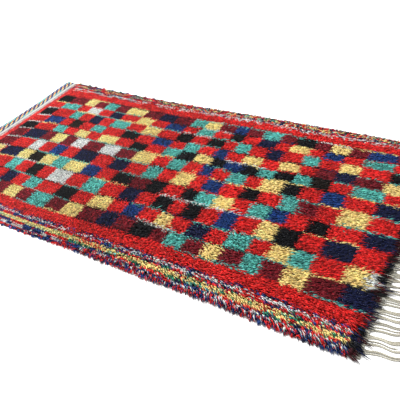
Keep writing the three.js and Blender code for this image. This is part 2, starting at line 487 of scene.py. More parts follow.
# The last rows of pile beside the fringe
END_YARNS = ((OXBLOOD, 5), (INK, 5), (MAROON, 1), (NAVY, 2))
FAR_BANDS = (
    BorderBand(0.013, ((NAVY, 4), (INK, 3), (BLUE, 2), (GREEN, 2), (MADDER, 3), (STRAW, 1))),
    BorderBand(0.021, ((MADDER, 5), (NAVY, 2), (INK, 1), (GREEN, 1), (STRAW, 1), (BLUE, 1))),
    BorderBand(0.024, ((STRAW, 3), (TEAL, 2), (MADDER, 3), (NAVY, 2)), 0.030),
    BorderBand(0.012, ((MADDER, 4), (NAVY, 2), (BLUE, 1)), 0.028),
    BorderBand(0.012, ((CREAM, 4), (MADDER, 2), (NAVY, 1)), 0.036),
    BorderBand(0.010, ((NAVY, 1), (MADDER, 5)), 0.030),
    BorderBand(0.010, ((CREAM, 3), (MADDER, 4)), 0.036),
    BorderBand(0.100, RED_ONLY),
)
NEAR_BANDS = (
    BorderBand(0.009, ((NAVY, 3), (MADDER, 3), (BLUE, 3)), 0.035),
    BorderBand(0.015, ((MADDER, 5), (NAVY, 2), (BLUE, 2), (CREAM, 1)), 0.030),
    BorderBand(0.015, ((CREAM, 4), (BLUE, 3), (NAVY, 1), (MADDER, 3)), 0.026),
    BorderBand(0.016, ((MADDER, 6), (NAVY, 2), (BLUE, 2), (GREEN, 1)), 0.060),
    BorderBand(0.025, ((STRAW, 8), (GREEN, 2), (MADDER, 1), (TEAL, 1)), 0.080),
    BorderBand(0.016, ((MADDER, 6), (GREEN, 1), (NAVY, 1), (BLUE, 2)), 0.050),
    BorderBand(0.019, ((CREAM, 7), (BLUE, 3), (MADDER, 3)), 0.040),
    BorderBand(0.010, ((NAVY, 2), (MADDER, 4), (BLUE, 2)), 0.014),
    BorderBand(0.100, RED_ONLY),
)


@dataclass(frozen=True)
class KnotChart:
    """Tells the dye of the knot at any place on the straight cloth.

    A pair of values holds beside the heading and in the shag.
    """

    layout: ClothLayout
    line_half_width: float = 0.0052
    line_run: int = 2
    border_row: float = 0.0062
    long_run: float = 1.6
    short_run: float = 0.35
    least_run: float = 0.006
    tooth: float = 0.010
    tooth_depth: float = 0.007
    handful: float = 0.011
    bunch: float = 0.034
    end_rows: float = 0.030
    end_spread: float = 0.8
    end_run: float = 0.024
    cream_end: float = 0.070
    strip_slip: float = 0.040
    slow_slip: float = 0.009
    line_step: float = 0.005
    slow_step: float = 0.003
    plain_corner: float = 0.07
    cream_lines: range = range(2, 8)
    closed_strips: range = range(2, 9)
    batch_cell: tuple[float, float] = (0.11, 0.1)
    batch_spread: float = 0.2
    shag_painted_shade: tuple[float, float] = (1.05, 0.85)
    straw_lift: float = 1.1
    knot_spread: tuple[float, float] = (0.42, 0.24)
    handful_spread: tuple[float, float] = (1.0, 0.45)
    tint_spread: float = 0.04
    fade: tuple[float, float] = (0.018, 0.008)
    faintest: float = 0.002
    palest: float = 0.95

    def teeth(self, places: Array, seed: Array) -> Array:
        """Gives how far a dye's edge steps to and fro from one knot to the next.

        Args:
            places: Places along the edge.
            seed: A number for each check, so that no two edges step alike.

        Returns:
            One step for each place.
        """
        knot = np.floor(places / self.tooth)
        return self.tooth_depth * (knot % 2 - 0.5 + 0.8 * (scatter(knot * 1.9 + seed * 13) - 0.5))

    def check_table(self) -> Array:
        """Gives the dye code of every check.

        Returns:
            One row of codes for each strip.
        """
        rows = []
        for rounds in STRIPS:
            columns = range(len(self.layout.check_lengths))
            rows.append([code(next(r for r in rounds if k < r.until).check_dye(k)) for k in columns])
        return np.array(rows)

    def band_dyes(self, bands: tuple[BorderBand, ...], x: Array, depth: Array) -> Array:
        """Gives the dyes of a long border.

        Args:
            bands: The border's bands from the rug's edge inwards.
            x: Places along the cloth.
            depth: Distances from the rug's edge.

        Returns:
            One dye code for each place.
        """
        dyes = np.zeros(len(x), int)
        start = 0.0
        row = np.floor(depth / self.border_row)
        quarter = np.floor(4 * smooth_step(-0.9, 0.7, x)) / 4
        for number, band in enumerate(bands):
            # Runs are long beside the heading and only a knot or two in the shaggy half.
            short = self.short_run * band.run + self.least_run
            length = blend(self.long_run * band.run, short, quarter)
            run = np.floor(x / length + scatter(row * 3 + number))
            chance = scatter(run * 1.7 + row * 53 + number * 11)
            dyes = np.where(depth >= start, pick(band.yarns, chance), dyes)
            start += band.width
        return dyes

    def field_dyes(self, x: Array, depth: Array) -> Array:
        """Gives the dyes of the field: its checks and the lines between its strips.

        Args:
            x: Places along the straight cloth.
            depth: Distances from its far edge.

        Returns:
            One dye code for each place.
        """
        layout = self.layout
        starts, edges = layout.check_starts, layout.strip_starts
        strip = np.clip(np.searchsorted(edges, depth) - 1, 0, len(edges) - 2)
        slip = self.strip_slip * (scatter(strip * 7.7) - 0.5) + self.slow_slip * np.sin(x * 6 + strip * 2.1)
        slip = slip + self.teeth(depth, strip)
        column = np.clip(np.searchsorted(starts, x + slip) - 1, 0, len(starts) - 2)
        step = self.line_step * (scatter(column * 3.1 + strip) - 0.5)
        wander = depth + step + self.slow_step * np.sin(x * 11)
        wander = wander + self.teeth(x, column)
        strip = np.clip(np.searchsorted(edges, wander) - 1, 0, len(edges) - 2)
        dyes = self.check_table()[strip, column]
        line = np.abs(edges[None, :] - wander[:, None]).argmin(1)
        on_line = np.abs(edges[line] - wander) < self.line_half_width
        run = (column + line) // self.line_run
        line_dyes = pick(LINE_YARNS, scatter(run * 5.3 + line * 17))
        is_cream = (column == 0) & np.isin(line, self.cream_lines)
        line_dyes = np.where(is_cream, code(CREAM), line_dyes)
        # A red row closes the first column of checks.
        closing = (np.abs(x + slip - starts[1]) < self.line_half_width) & np.isin(strip, self.closed_strips)
        dyes = np.where(closing, code(MADDER), dyes)
        # The straw wool ran out in the last column, which cream ends.
        is_last = x + 4 * self.teeth(depth, strip) > layout.pile_end - self.cream_end
        dyes = np.where((dyes == code(STRAW)) & is_last, code(CREAM), dyes)
        return np.where(on_line, line_dyes, dyes)

    def dyes(self, x: Array, y: Array) -> Array:
        """Gives the dye of each knot.

        Args:
            x: Places along the straight cloth.
            y: Places across it.

        Returns:
            One dye code for each knot.
        """
        layout = self.layout
        starts, edges = layout.check_starts, layout.strip_starts
        depth = layout.half_width - y
        dyes = self.field_dyes(x, depth)
        far = depth < edges[0] - self.line_half_width
        near = depth > edges[-1] + self.line_half_width
        dyes = np.where(far, self.band_dyes(FAR_BANDS, x, depth), dyes)
        dyes = np.where(near, self.band_dyes(NEAR_BANDS, x, layout.width - depth), dyes)
        inside = np.minimum(depth, layout.width - depth) > self.plain_corner
        dyes = np.where((x < starts[0]) & inside, code(MADDER), dyes)
        bunch = np.floor(y / self.bunch)
        share = 1 - self.end_spread / 2 + self.end_spread * scatter(bunch)
        ragged = layout.pile_end - self.end_rows * share
        end_dyes = pick(END_YARNS, scatter(bunch + 31 * np.floor(x / self.end_run)))
        return np.where(x > ragged, end_dyes, dyes)

    def evenness(self) -> Array:
        """Tells how much each dye varies: pale wool takes its dye evenly, and cream has none."""
        shares = {CREAM: 0.35, STRAW: 0.5, TEAL: 0.85}
        return np.array([shares.get(dye, 1.0) for dye in DYES])

    def tones(self, x: Array, y: Array, generator: np.random.Generator) -> Array:
        """Gives each knot's linear colour, uneven from check to check and from knot to knot.

        Args:
            x: Places along the straight cloth.
            y: Places across it.
            generator: The source of the unevenness between knots.

        Returns:
            An array of linear colours, one row for each knot.
        """
        dyes = self.dyes(x, y)
        length, width = self.batch_cell
        check = np.floor(x / length) * 7 + np.floor(y / width) * 13
        batch = 1 - self.batch_spread / 2 + self.batch_spread * scatter(check + dyes)
        # The knots are painted a little lighter beside the heading and darker in the shaggy half: painted
        # light and shade that follow the depth of the pile.
        depth = blend(*self.shag_painted_shade, smooth_step(-0.9, 0.0, x))
        depth = depth * np.where(dyes == code(STRAW), self.straw_lift, 1)
        handful = np.floor(x / self.handful) * 57 + np.floor(y / self.handful) * 131
        shag = self.layout.shagginess(x)
        uneven = generator.normal(0, blend(*self.knot_spread, shag))
        uneven = uneven + blend(*self.handful_spread, shag) * (scatter(handful) - 0.5)
        uneven = uneven * self.evenness()[dyes]
        tint = 1 + generator.normal(0, self.tint_spread, (len(x), 3))
        faded = (blend(*self.fade, shag) * scatter(handful + 0.5) ** 2)[:, None]
        light = DYE_LIGHT[dyes] * (batch * depth * np.exp(uneven))[:, None] * tint
        return np.clip(light + faded, self.faintest, self.palest)


def add_node(tree: bpy.types.NodeTree, kind: str, settings: dict, links: dict) -> bpy.types.Node:
    """Adds a shader node with its settings and incoming links.

    Args:
        tree: The material's node tree.
        kind: The node's type name.
        settings: Values by property name, or by input name or number.
        links: Output sockets by the name or number of the input that they feed.

    Returns:
        The new node.
    """
    node = tree.nodes.new(kind)
    for name, value in settings.items():
        if isinstance(name, str) and hasattr(node, name):
            setattr(node, name, value)
        else:
            node.inputs[name].default_value = value
    for name, socket in links.items():
        tree.links.new(socket, node.inputs[name])
    return node


@dataclass(frozen=True)
class DyedWool:
    """Hand-spun wool yarn: matt and fibrous, uneven in its dye, with a faint bloom at its edges.

    Its fibres are drawn some fifty times as coarse as real ones, so that they show.
    """

    name: str
    roughness: float = 0.9
    sheen: float = 0.08
    fibre_size: float = 0.0016
    fibre_depth: float = 0.0005
    mottle_size: float = 0.009
    mottle: float = 0.2
    specular: float = 0.15

    def material(self) -> Finish:
        """Makes the material, which reads its dye from the colour attribute 'yarn'.

        Returns:
            The material.
        """
        made = bpy.data.materials.new(self.name)
        made.use_nodes = True
        tree = made.node_tree
        tree.nodes.clear()
        place = add_node(tree, "ShaderNodeTexCoord", {}, {})
        dye = add_node(tree, "ShaderNodeVertexColor", {"layer_name": "yarn"}, {})
        mottle = add_node(
            tree,
            "ShaderNodeTexNoise",
            {"Scale": 1 / self.mottle_size, "Detail": 3.0, "Roughness": 0.6},
            {"Vector": place.outputs["Object"]},
        )
        shade = add_node(
            tree,
            "ShaderNodeMapRange",
            {"From Min": 0.3, "From Max": 0.7, "To Min": 1 - self.mottle, "To Max": 1 + self.mottle},
            {"Value": mottle.outputs["Fac"]},
        )
        colour = add_node(
            tree,
            "ShaderNodeVectorMath",
            {"operation": "SCALE"},
            {0: dye.outputs["Color"], "Scale": shade.outputs["Result"]},
        )
        fibres = add_node(
            tree,
            "ShaderNodeTexNoise",
            {"Scale": 1 / self.fibre_size, "Detail": 2.0, "Roughness": 0.7},
            {"Vector": place.outputs["Object"]},
        )
        bump = add_node(
            tree,
            "ShaderNodeBump",
            {"Strength": 0.7, "Distance": self.fibre_depth},
            {"Height": fibres.outputs["Fac"]},
        )
        surface = add_node(
            tree,
            "ShaderNodeBsdfPrincipled",
            {"Roughness": self.roughness, "Sheen Weight": self.sheen, "Specular IOR Level": self.specular},
            {"Base Color": colour.outputs["Vector"], "Normal": bump.outputs["Normal"]},
        )
        add_node(tree, "ShaderNodeOutputMaterial", {}, {"Surface": surface.outputs["BSDF"]})
        return made


@dataclass
class YarnShape:
    """A small closed shape that is repeated: its points, triangles and a flat map of each corner."""

    points: Array
    triangles: Array
    corners: Array

    @classmethod
    def read(cls, form: bmesh.types.BMesh) -> "YarnShape":
        """Reads a bmesh into arrays, frees it, and lays its corners out round its length.

        Args:
            form: A bmesh about the z axis, from z = 0 to z = 1.

        Returns:
            The shape.
        """
        bmesh.ops.triangulate(form, faces=form.faces)
        bmesh.ops.recalc_face_normals(form, faces=form.faces)
        form.verts.index_update()
        points = np.array([v.co[:] for v in form.verts])
        triangles = np.array([[v.index for v in f.verts] for f in form.faces])
        form.free()
        angles = np.arctan2(points[:, 1], points[:, 0]) / (2 * np.pi) + 0.5
        corners = np.zeros((len(triangles), 3, 2))
        for number, face in enumerate(triangles):
            # A face at an end lies in the map cell's low corner, and the others lie round above it.
            if np.ptp(points[face, 2]) < 1e-4:
                corners[number] = 0.06 + 0.05 * points[face, :2]
                continue
            turns = angles[face]
            on_axis = np.hypot(points[face, 0], points[face, 1]) < 1e-4
            if np.ptp(turns[~on_axis]) > 0.5:
                turns = np.where(turns < 0.5, turns + 1, turns)
            turns = np.where(on_axis, turns[~on_axis].mean(), turns)
            corners[number, :, 0] = 0.12 + 0.55 * turns
            corners[number, :, 1] = 0.14 + 0.8 * points[face, 2]
        return cls(points, triangles, corners)


def placed(name: str, data: bpy.types.ID) -> bpy.types.Object:
    """Adds an object to the scene.

    Args:
        name: Its name.
        data: Its mesh, camera or light.

    Returns:
        The object, at the origin.
    """
    made = bpy.data.objects.new(name, data)
    bpy.context.scene.collection.objects.link(made)
    return made


def dressed(mesh: bpy.types.Mesh, domain: str, colours: Array, uv: Array, material: Finish) -> Piece:
    """Gives a mesh its dyes, its map and its finish, and adds it to the scene.

    Args:
        mesh: The mesh.
        domain: Whether each POINT or each CORNER has a colour.
        colours: Linear colours.
        uv: Each face corner's place on the map.
        material: The finish.

    Returns:
        The new piece.
    """
    mesh.polygons.foreach_set("use_smooth", np.ones(len(mesh.polygons), bool))
    rgba = np.column_stack([np.clip(colours, 0, 1), np.ones(len(colours))])
    yarn = mesh.color_attributes.new("yarn", "FLOAT_COLOR", domain)
    yarn.data.foreach_set("color", rgba.astype(np.float32).ravel())
    layer = mesh.uv_layers.new(name="OFBake")
    layer.data.foreach_set("uv", uv.astype(np.float32).ravel())
    mesh.materials.append(material)
    LOG.info("%s: %d faces", mesh.name, len(mesh.polygons))
    return placed(mesh.name, mesh)


def spindle(waist: float) -> YarnShape:
    """Makes one yarn end: pointed where it is rooted and at its tip, and three-sided between.

    Args:
        waist: How high its thickest part is, from 0 to 1.

    Returns:
        The shape, of unit length and radius.
    """
    form = bmesh.new()
    bmesh.ops.create_cone(form, cap_ends=True, segments=3, radius1=1, radius2=0, depth=1)
    bmesh.ops.remove_doubles(form, verts=form.verts, dist=1e-5)
    base = [f for f in form.faces if abs(f.normal.z) > 0.9]
    ring = [v for f in base for v in f.verts]
    root = bmesh.ops.poke(form, faces=base)["verts"]
    bmesh.ops.translate(form, verts=form.verts, vec=(0, 0, 0.5))
    bmesh.ops.translate(form, verts=ring, vec=(0, 0, waist))
    for vertex in root:
        vertex.co = (0, 0, 0)
    return YarnShape.read(form)


def tube(sides: int, steps: int) -> YarnShape:
    """Makes a straight closed tube of unit length and radius.

    Args:
        sides: How many sides it has.
        steps: How many steps it has along its length.

    Returns:
        The shape.
    """
    form = bmesh.new()
    bmesh.ops.create_grid(form, x_segments=sides, y_segments=steps, size=0.5)
    for vertex in form.verts:
        angle = 2 * math.pi * (vertex.co.x + 0.5)
        vertex.co = (math.cos(angle), math.sin(angle), vertex.co.y + 0.5)
    bmesh.ops.remove_doubles(form, verts=form.verts, dist=1e-5)
    bmesh.ops.holes_fill(form, edges=[e for e in form.edges if e.is_boundary], sides=sides)
    return YarnShape.read(form)


@dataclass
class YarnPieces:
    """Copies of yarn shapes with a colour for each point, joined into one mesh at the end."""

    points: list[Array] = field(default_factory=list)
    triangles: list[Array] = field(default_factory=list)
    colours: list[Array] = field(default_factory=list)
    corners: list[Array] = field(default_factory=list)
    count: int = 0

    def add(
        self,
        shape: YarnShape,
        middles: Array,
        headings: Array,
        radii: Array,
        colours: Array,
        flatness: float = 1.0,
    ) -> None:
        """Adds copies of a shape, each swept along its own path.

        Args:
            shape: The shape to copy.
            middles: Where each point's section lies on the path, as (copies, points, 3).
            headings: The path's direction there.
            radii: The section's radius there, as (copies, points).
            colours: Linear colours, as (copies, points, 3).
            flatness: How thick the yarn is beside its width.
        """
        ahead = unit(headings)
        sideways = unit(np.stack([-ahead[..., 1], ahead[..., 0], np.zeros(ahead.shape[:2])], -1))
        upwards = np.cross(ahead, sideways)
        across = shape.points[None, :, 0, None] * sideways
        over = flatness * shape.points[None, :, 1, None] * upwards
        points = middles + radii[..., None] * (across + over)
        copies, size = points.shape[:2]
        firsts = self.count + size * np.arange(copies)
        self.points.append(points.reshape(-1, 3))
        self.triangles.append((firsts[:, None, None] + shape.triangles[None]).reshape(-1, 3))
        self.colours.append(colours.reshape(-1, 3))
        self.corners.append(np.repeat(shape.corners[None], copies, axis=0))
        self.count += copies * size

    def add_cords(
        self, paths: Array, radii: Array, colours: Array, sides: int, flatness: float = 1.0
    ) -> None:
        """Adds cords, each a tube along a path.

        Args:
            paths: Points of each path, as (cords, stations, 3).
            radii: The cord's radius at each station.
            colours: The cord's linear colour at each station.
            sides: How many sides the cords have.
            flatness: How thick the cords are beside their width.
        """
        shape = tube(sides, paths.shape[1] - 1)
        ring = np.rint(shape.points[:, 2] * (paths.shape[1] - 1)).astype(int)
        headings = np.gradient(paths, axis=1)
        self.add(shape, paths[:, ring], headings[:, ring], radii[:, ring], colours[:, ring], flatness)

    def mapped_corners(self, columns: int) -> Array:
        """Lays every copy out in its own cell of one map.

        Args:
            columns: How many cells a row of the map has.

        Returns:
            Each face corner's place on the map.
        """
        copies = sum(len(block) for block in self.corners)
        cells = np.array([1 / columns, 1 / math.ceil(copies / columns)])
        number = np.arange(copies)
        places = np.column_stack([number % columns, number // columns])
        laid, start = [], 0
        for block in self.corners:
            here = places[start : start + len(block), None, None, :]
            laid.append(((here + block) * cells).reshape(-1, 2))
            start += len(block)
        return np.concatenate(laid)

    def build(self, name: str, material: Finish, columns: int) -> Piece:
        """Joins all copies into one object at the origin.

        Args:
            name: The piece's name.
            material: Its finish.
            columns: How many copies lie beside each other on its map.

        Returns:
            The new object.
        """
        points = np.concatenate(self.points)
        triangles = np.concatenate(self.triangles)
        mesh = bpy.data.meshes.new(name)
        mesh.vertices.add(len(points))
        mesh.vertices.foreach_set("co", points.astype(np.float32).ravel())
        mesh.loops.add(3 * len(triangles))
        mesh.loops.foreach_set("vertex_index", triangles.astype(np.int32).ravel())
        mesh.polygons.add(len(triangles))
        mesh.polygons.foreach_set("loop_start", np.arange(0, 3 * len(triangles), 3, dtype=np.int32))
        mesh.update(calc_edges=True)
        return dressed(mesh, "POINT", np.concatenate(self.colours), self.mapped_corners(columns), material)


# How much of the light a yarn end gets at its root and tip, and how fast it grows towards the tip.
# Light passes on between pale ends, so their roots are less dark than those of dark ones.
PALE_ROOT = 0.38
PALE_CURVE = 1.5
TIP_LIGHT = 1.12
LIGHT_CURVE = 0.45


@dataclass
class Tufts:
    """Many yarn ends: where each is rooted, how it bends and ends, its thickness and its colour."""

    roots: Array
    knees: Array
    tips: Array
    radii: Array
    colours: Array

    def __len__(self) -> int:
        """Counts the yarn ends."""
        return len(self.roots)

    def part(self, chosen: Array | slice) -> "Tufts":
        """Gives only the chosen yarn ends."""
        parts = (self.roots, self.knees, self.tips, self.radii, self.colours)
        return Tufts(*(each[chosen] for each in parts))

    def add_to(self, pieces: YarnPieces, shape: YarnShape, root_shade: float = 0.12) -> None:
        """Bends a copy of a shape along each yarn end and adds it.

        Args:
            pieces: The pieces to add to.
            shape: The shape of a yarn end.
            root_shade: How dark the yarn is painted at its root: painted shade deep in the pile, and the
                dust that has settled there.
        """
        share = shape.points[None, :, 2, None]
        roots, knees, tips = (each[:, None, :] for each in (self.roots, self.knees, self.tips))
        middles = (1 - share) ** 2 * roots + 2 * share * (1 - share) * knees + share**2 * tips
        headings = (1 - share) * (knees - roots) + share * (tips - knees)
        radii = np.broadcast_to(self.radii[:, None], middles.shape[:2])
        # Each end is painted dark at its root, as painted shade with some dust, and lighter than its dye at
        # its tip, as painted light with some bleaching.
        roots_light = root_shade + PALE_ROOT * self.colours.max(1)[:, None, None] ** PALE_CURVE
        colours = self.colours[:, None, :] * blend(roots_light, TIP_LIGHT, share**LIGHT_CURVE)
        pieces.add(shape, middles, headings, radii, colours)


@dataclass(frozen=True)
class LockRow:
    """A row of loose locks along one edge of the pile, as in the solids."""

    edge: str
    start: float
    end: float
    count: int
    reach: float
    width: float
    rise: float
    tip: float
    bearing: float
    turn: float


# Bearings point out of the rug, and each row is turned a little from them.
LOCK_ROWS = (
    LockRow("near", -1.245, 0.030, 24, 0.020, 0.018, 0.006, 0.002, -math.pi / 2, 0.3),
    LockRow("near", 0.075, 1.345, 34, 0.033, 0.022, 0.009, 0.0016, -math.pi / 2, 0.3),
    LockRow("far", -1.240, 1.340, 34, 0.018, 0.018, 0.008, 0.003, math.pi / 2, -0.3),
    LockRow("end", -0.722, 0.722, 40, 0.036, 0.022, 0.012, 0.0076, 0.0, -0.12),
)


def cloth_mesh(name: str, along: Array, across: Array) -> tuple[bpy.types.Mesh, Array, Array, Array]:
    """Makes a closed slab of cloth whose points stand at the given stations.

    Args:
        name: The mesh's name.
        along: Stations along the cloth.
        across: Stations across it.

    Returns:
        The mesh, each point's place along and across the cloth, and whether it is on the upper side.
    """
    form = bmesh.new()
    bmesh.ops.create_grid(form, x_segments=len(along) - 1, y_segments=len(across) - 1, size=0.5)
    lower = list(form.faces)
    made = bmesh.ops.extrude_face_region(form, geom=lower)
    raised = [v for v in made["geom"] if isinstance(v, bmesh.types.BMVert)]
    bmesh.ops.translate(form, verts=raised, vec=(0, 0, 1))
    bmesh.ops.reverse_faces(form, faces=lower)
    mesh = bpy.data.meshes.new(name)
    form.to_mesh(mesh)
    form.free()
    flat = np.empty(len(mesh.vertices) * 3)
    mesh.vertices.foreach_get("co", flat)
    flat = flat.reshape(-1, 3)
    x = np.interp(flat[:, 0] + 0.5, np.linspace(0, 1, len(along)), along)
    y = np.interp(flat[:, 1] + 0.5, np.linspace(0, 1, len(across)), across)
    return mesh, x, y, flat[:, 2] > 0.5


def finish_cloth(mesh: bpy.types.Mesh, points: Array, face_colours: Array, material: Finish) -> Piece:
    """Gives a slab of cloth its form, colours, map and finish.

    Args:
        mesh: A mesh from cloth_mesh.
        points: The places of its points.
        face_colours: One linear colour for each face.
        material: The finish.

    Returns:
        The new object.
    """
    plan = face_corners(mesh).ravel()
    mesh.vertices.foreach_set("co", points.astype(np.float32).ravel())
    mesh.update()
    normals = np.empty(len(mesh.polygons) * 3)
    mesh.polygons.foreach_get("normal", normals)
    below = np.repeat(normals.reshape(-1, 3)[:, 2] < -0.5, 4)
    low, high = points.min(0), points.max(0)
    share = (points - low) / (high - low)
    # Side faces lean out a little on the map, so that none of them has no width there.
    spread = 0.012 * (share[plan, 2:3] - 0.5) * np.sign(share[plan, :2] - 0.5)
    u, v = (0.03 + 0.94 * share[plan, :2] + spread).T
    uv = np.column_stack([u, 0.5 * v + np.where(below, 0.5, 0)])
    return dressed(mesh, "CORNER", np.repeat(face_colours, 4, axis=0), uv, material)


def ribbed_ground(
    name: str,
    marks: Array,
    heights: Array,
    layout: ClothLayout,
    place: Callable,
    light: Array,
    material: Finish,
) -> Piece:
    """Makes a closed slab with ribs across the rug, in one colour.

    Args:
        name: The piece's name.
        marks: Where each crest and valley lies along the straight cloth.
        heights: How high they are.
        layout: The cloth's layout.
        place: What moves places on the straight cloth to where they lie on the floor.
        light: The linear colour.
        material: The finish.

    Returns:
        The new piece.
    """
    mesh, x, y, is_top = cloth_mesh(name, marks, spaced(layout.across_stations(), 0.03))
    z = np.where(is_top, np.interp(x, marks, heights), FLOOR_GAP)
    colours = np.repeat(light[None], len(mesh.polygons), 0)
    return finish_cloth(mesh, np.column_stack([*place(x, y), z]), colours, material)


def face_corners(mesh: bpy.types.Mesh) -> Array:
    """Gives the four points of each face of a slab of cloth.

    Args:
        mesh: A mesh from cloth_mesh.

    Returns:
        One row of point numbers for each face.
    """
    corners = np.empty(len(mesh.loops), int)
    mesh.loops.foreach_get("vertex_index", corners)
    return corners.reshape(-1, 4)


def face_places(mesh: bpy.types.Mesh, x: Array, y: Array) -> tuple[Array, Array]:
    """Gives the middle of each face on the straight cloth."""
    corners = face_corners(mesh)
    return x[corners].mean(1), y[corners].mean(1)


def spaced(marks: Array, most: float) -> Array:
    """Divides the spaces between marks into even steps.

    Args:
        marks: The marks, in order.
        most: The longest step.

    Returns:
        The marks with the steps between them.
    """
    stations = [marks[:1]]
    for low, high in zip(marks[:-1], marks[1:]):
        steps = max(1, math.ceil((high - low) / most - 1e-6))
        stations.append(np.linspace(low, high, steps + 1)[1:])
    return np.concatenate(stations)


@dataclass
class KnottedPile:
    """The knotted field and borders: a bed of packed yarn and the ends that stand out of it.

    A pair of values holds beside the heading and in the shag.
    """

    layout: ClothLayout
    chart: KnotChart
    row_pitch: float = 0.0060
    knot_pitch: float = 0.0058
    jitter: float = 0.38
    bed_pitch: float = 0.030
    bed_border: tuple[float, ...] = (0.020, 0.048)
    bed_near_border: tuple[float, ...] = (0.08, 0.035)
    back_row: float = 0.0062
    back_rib: float = 0.0010
    back_light: float = 0.8
    weft_light: float = 0.5
    hollow_light: tuple[float, float] = (0.15, 0.3)
    bed_share: float = 0.24
    bed_rim: float = 0.02
    bed_rim_share: float = 0.2
    root_depth: float = 0.0015
    rim_width: float = 0.035
    border_start: float = 0.02
    border_end: float = 0.22
    last_length: float = 0.06
    first_length: float = 0.02
    trodden_length: float = 0.06
    heading_angle: float = 0.05
    border_turn: float = 0.85
    angle_spread: tuple[float, float] = (1.1, 0.24)
    calming: float = 0.6
    outward_pull: float = 0.9
    fringe_pull: float = 1.2
    heading_pull: float = 1.6
    handful: float = 0.013
    handful_drop: float = 0.0035
    tip_spread: float = 0.001
    lowest_tip: float = 0.0022
    reach: tuple[float, float] = (0.0035, 0.036)
    reach_spread: float = 0.3
    clump: float = 0.021
    clump_share: tuple[float, float] = (0.35, 0.22)
    bunch_share: float = 0.6
    knee_place: float = 0.4
    knee_rise: float = 0.004
    radius: tuple[float, float] = (0.0027, 0.0024)
    zones: int = 4
    waist: tuple[float, float] = (0.75, 0.5)
    strands_in_lock: int = 9
    lock_turn: float = 0.5
    lock_root: tuple[float, float] = (0.004, 0.014)
    lock_share: float = 0.65
    lock_taper: float = 0.6
    lock_rise: tuple[float, float] = (-0.002, 0.003)
    lock_tip_spread: float = 0.002
    lock_radius: float = 0.0027
    lock_root_shade: float = 0.7

    def bed_top(self, x: Array, y: Array) -> Array:
        """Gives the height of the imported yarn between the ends.

        Args:
            x: Places along the straight cloth.
            y: Places across it.

        Returns:
            One height for each place.
        """
        layout = self.layout
        from_end = np.minimum(x - layout.pile_start, layout.pile_end - x)
        edge = np.minimum(layout.half_width - np.abs(y), from_end)
        rounding = blend(self.bed_rim_share, 1, smooth_step(0, self.bed_rim, edge))
        return layout.foundation + self.bed_share * rounding * (layout.pile_top(x, y) - layout.foundation)

    def bed(self, material: Finish) -> Piece:
        """Makes the closed bed of packed yarn, whose underside is the rug's woven back.

        The back shows each row of knots as a rib of two faces in its dyes, then a row of plain wefts.

        Args:
            material: The wool.

        Returns:
            The bed.
        """
        layout = self.layout
        starts, edges = layout.check_starts, layout.strip_starts
        along = spaced(np.concatenate([[layout.pile_start], starts, [layout.pile_end]]), self.back_row)
        half_line = self.chart.line_half_width
        lines = np.sort(np.concatenate([edges - half_line, edges + half_line]))
        far, near = [0, *self.bed_border], [*self.bed_near_border, 0]
        depths = np.concatenate([far, lines, layout.width - np.array(near)])
        across = layout.half_width - spaced(depths, self.bed_pitch)[::-1]
        mesh, x, y, is_top = cloth_mesh("pile_bed", along, across)
        on_x, on_y = layout.place(x, y)
        is_crest = np.searchsorted(along, x - 1e-5) % 3 == 1
        back = np.where(is_crest, FLOOR_GAP, FLOOR_GAP + self.back_rib)
        height = np.where(is_top, self.bed_top(x, y), back)
        face_x, face_y = face_places(mesh, x, y)
        is_below = ~is_top[face_corners(mesh)].any(1)
        is_weft = is_below & ((np.searchsorted(along, face_x) - 1) % 3 == 2)
        colours = self.chart.tones(face_x, face_y, np.random.default_rng(11))
        # The bed's top is painted dark, least so under pale ends: painted shade deep in the pile between the
        # yarn ends.
        hollow = self.hollow_light[0] + self.hollow_light[1] * colours.max(1)
        colours = colours * np.where(is_below, self.back_light, hollow)[:, None]
        colours = np.where(is_weft[:, None], self.weft_light * DYE_LIGHT[code(GREIGE)], colours)
        return finish_cloth(mesh, np.column_stack([on_x, on_y, height]), colours, material)

    def knots(self) -> tuple[Array, Array, int]:
        """Lays out the knots in rows across the straight cloth.

        Returns:
            The places of all knots along and across it, and how many one row has.
        """
        layout = self.layout
        rows = np.arange(layout.pile_start + self.row_pitch / 2, layout.pile_end - 0.002, self.row_pitch)
        knots = np.arange(-layout.half_width + self.knot_pitch / 2, layout.half_width, self.knot_pitch)
        x, y = (each.ravel() for each in np.meshgrid(rows, knots, indexing="ij"))
        return x, y, len(knots)

    def tufts(self) -> tuple[Tufts, int]:
        """Makes the yarn ends of the field and borders, leaning and gathered into loose clumps.

        Returns:
            The yarn ends, and how many of them one row has.
        """
        layout, generator = self.layout, np.random.default_rng(7)
        x, y, in_row = self.knots()
        count = len(x)
        colours = self.chart.tones(x, y, generator)
        x = x + generator.uniform(-self.jitter, self.jitter, count) * self.row_pitch
        y = y + generator.uniform(-self.jitter, self.jitter, count) * self.knot_pitch
        shag = layout.shagginess(x)
        top = layout.pile_top(x, y)
        root_z = self.bed_top(x, y) - self.root_depth
        on_x, on_y = layout.place(x, y)
        near, far = y + layout.half_width, layout.half_width - y
        rim = 1 - smooth_step(0, self.rim_width, np.minimum(near, far))
        border = 1 - smooth_step(self.border_start, self.border_end, near)
        last = 1 - smooth_step(0, self.last_length, layout.pile_end - x)
        first = 1 - smooth_step(0, self.first_length, x - layout.pile_start)
        trodden = 1 - smooth_step(0, self.trodden_length, x - layout.pile_start)
        # Feet have ruffled the pile in slow swirls, least of all in its border and last rows.
        swirl = 0.25 * np.sin(x * 7.1 + 1.3 * np.sin(y * 9.0)) + 0.2 * np.sin(y * 11.3 + x * 5.0)
        calm = 1 - self.calming * np.maximum(last, border)
        ruffle = swirl + generator.normal(0, blend(*self.angle_spread, shag), count)
        angle = self.heading_angle - self.border_turn * border + calm * ruffle
        way = np.column_stack([np.cos(angle), np.sin(angle)])
        outward = np.column_stack([np.zeros(count), np.where(near < far, -1.0, 1.0)])
        lengthways = self.fringe_pull * last - self.heading_pull * first
        way = way + (self.outward_pull * rim)[:, None] * outward + lengthways[:, None] * [1.0, 0.0]
        way = unit(way)
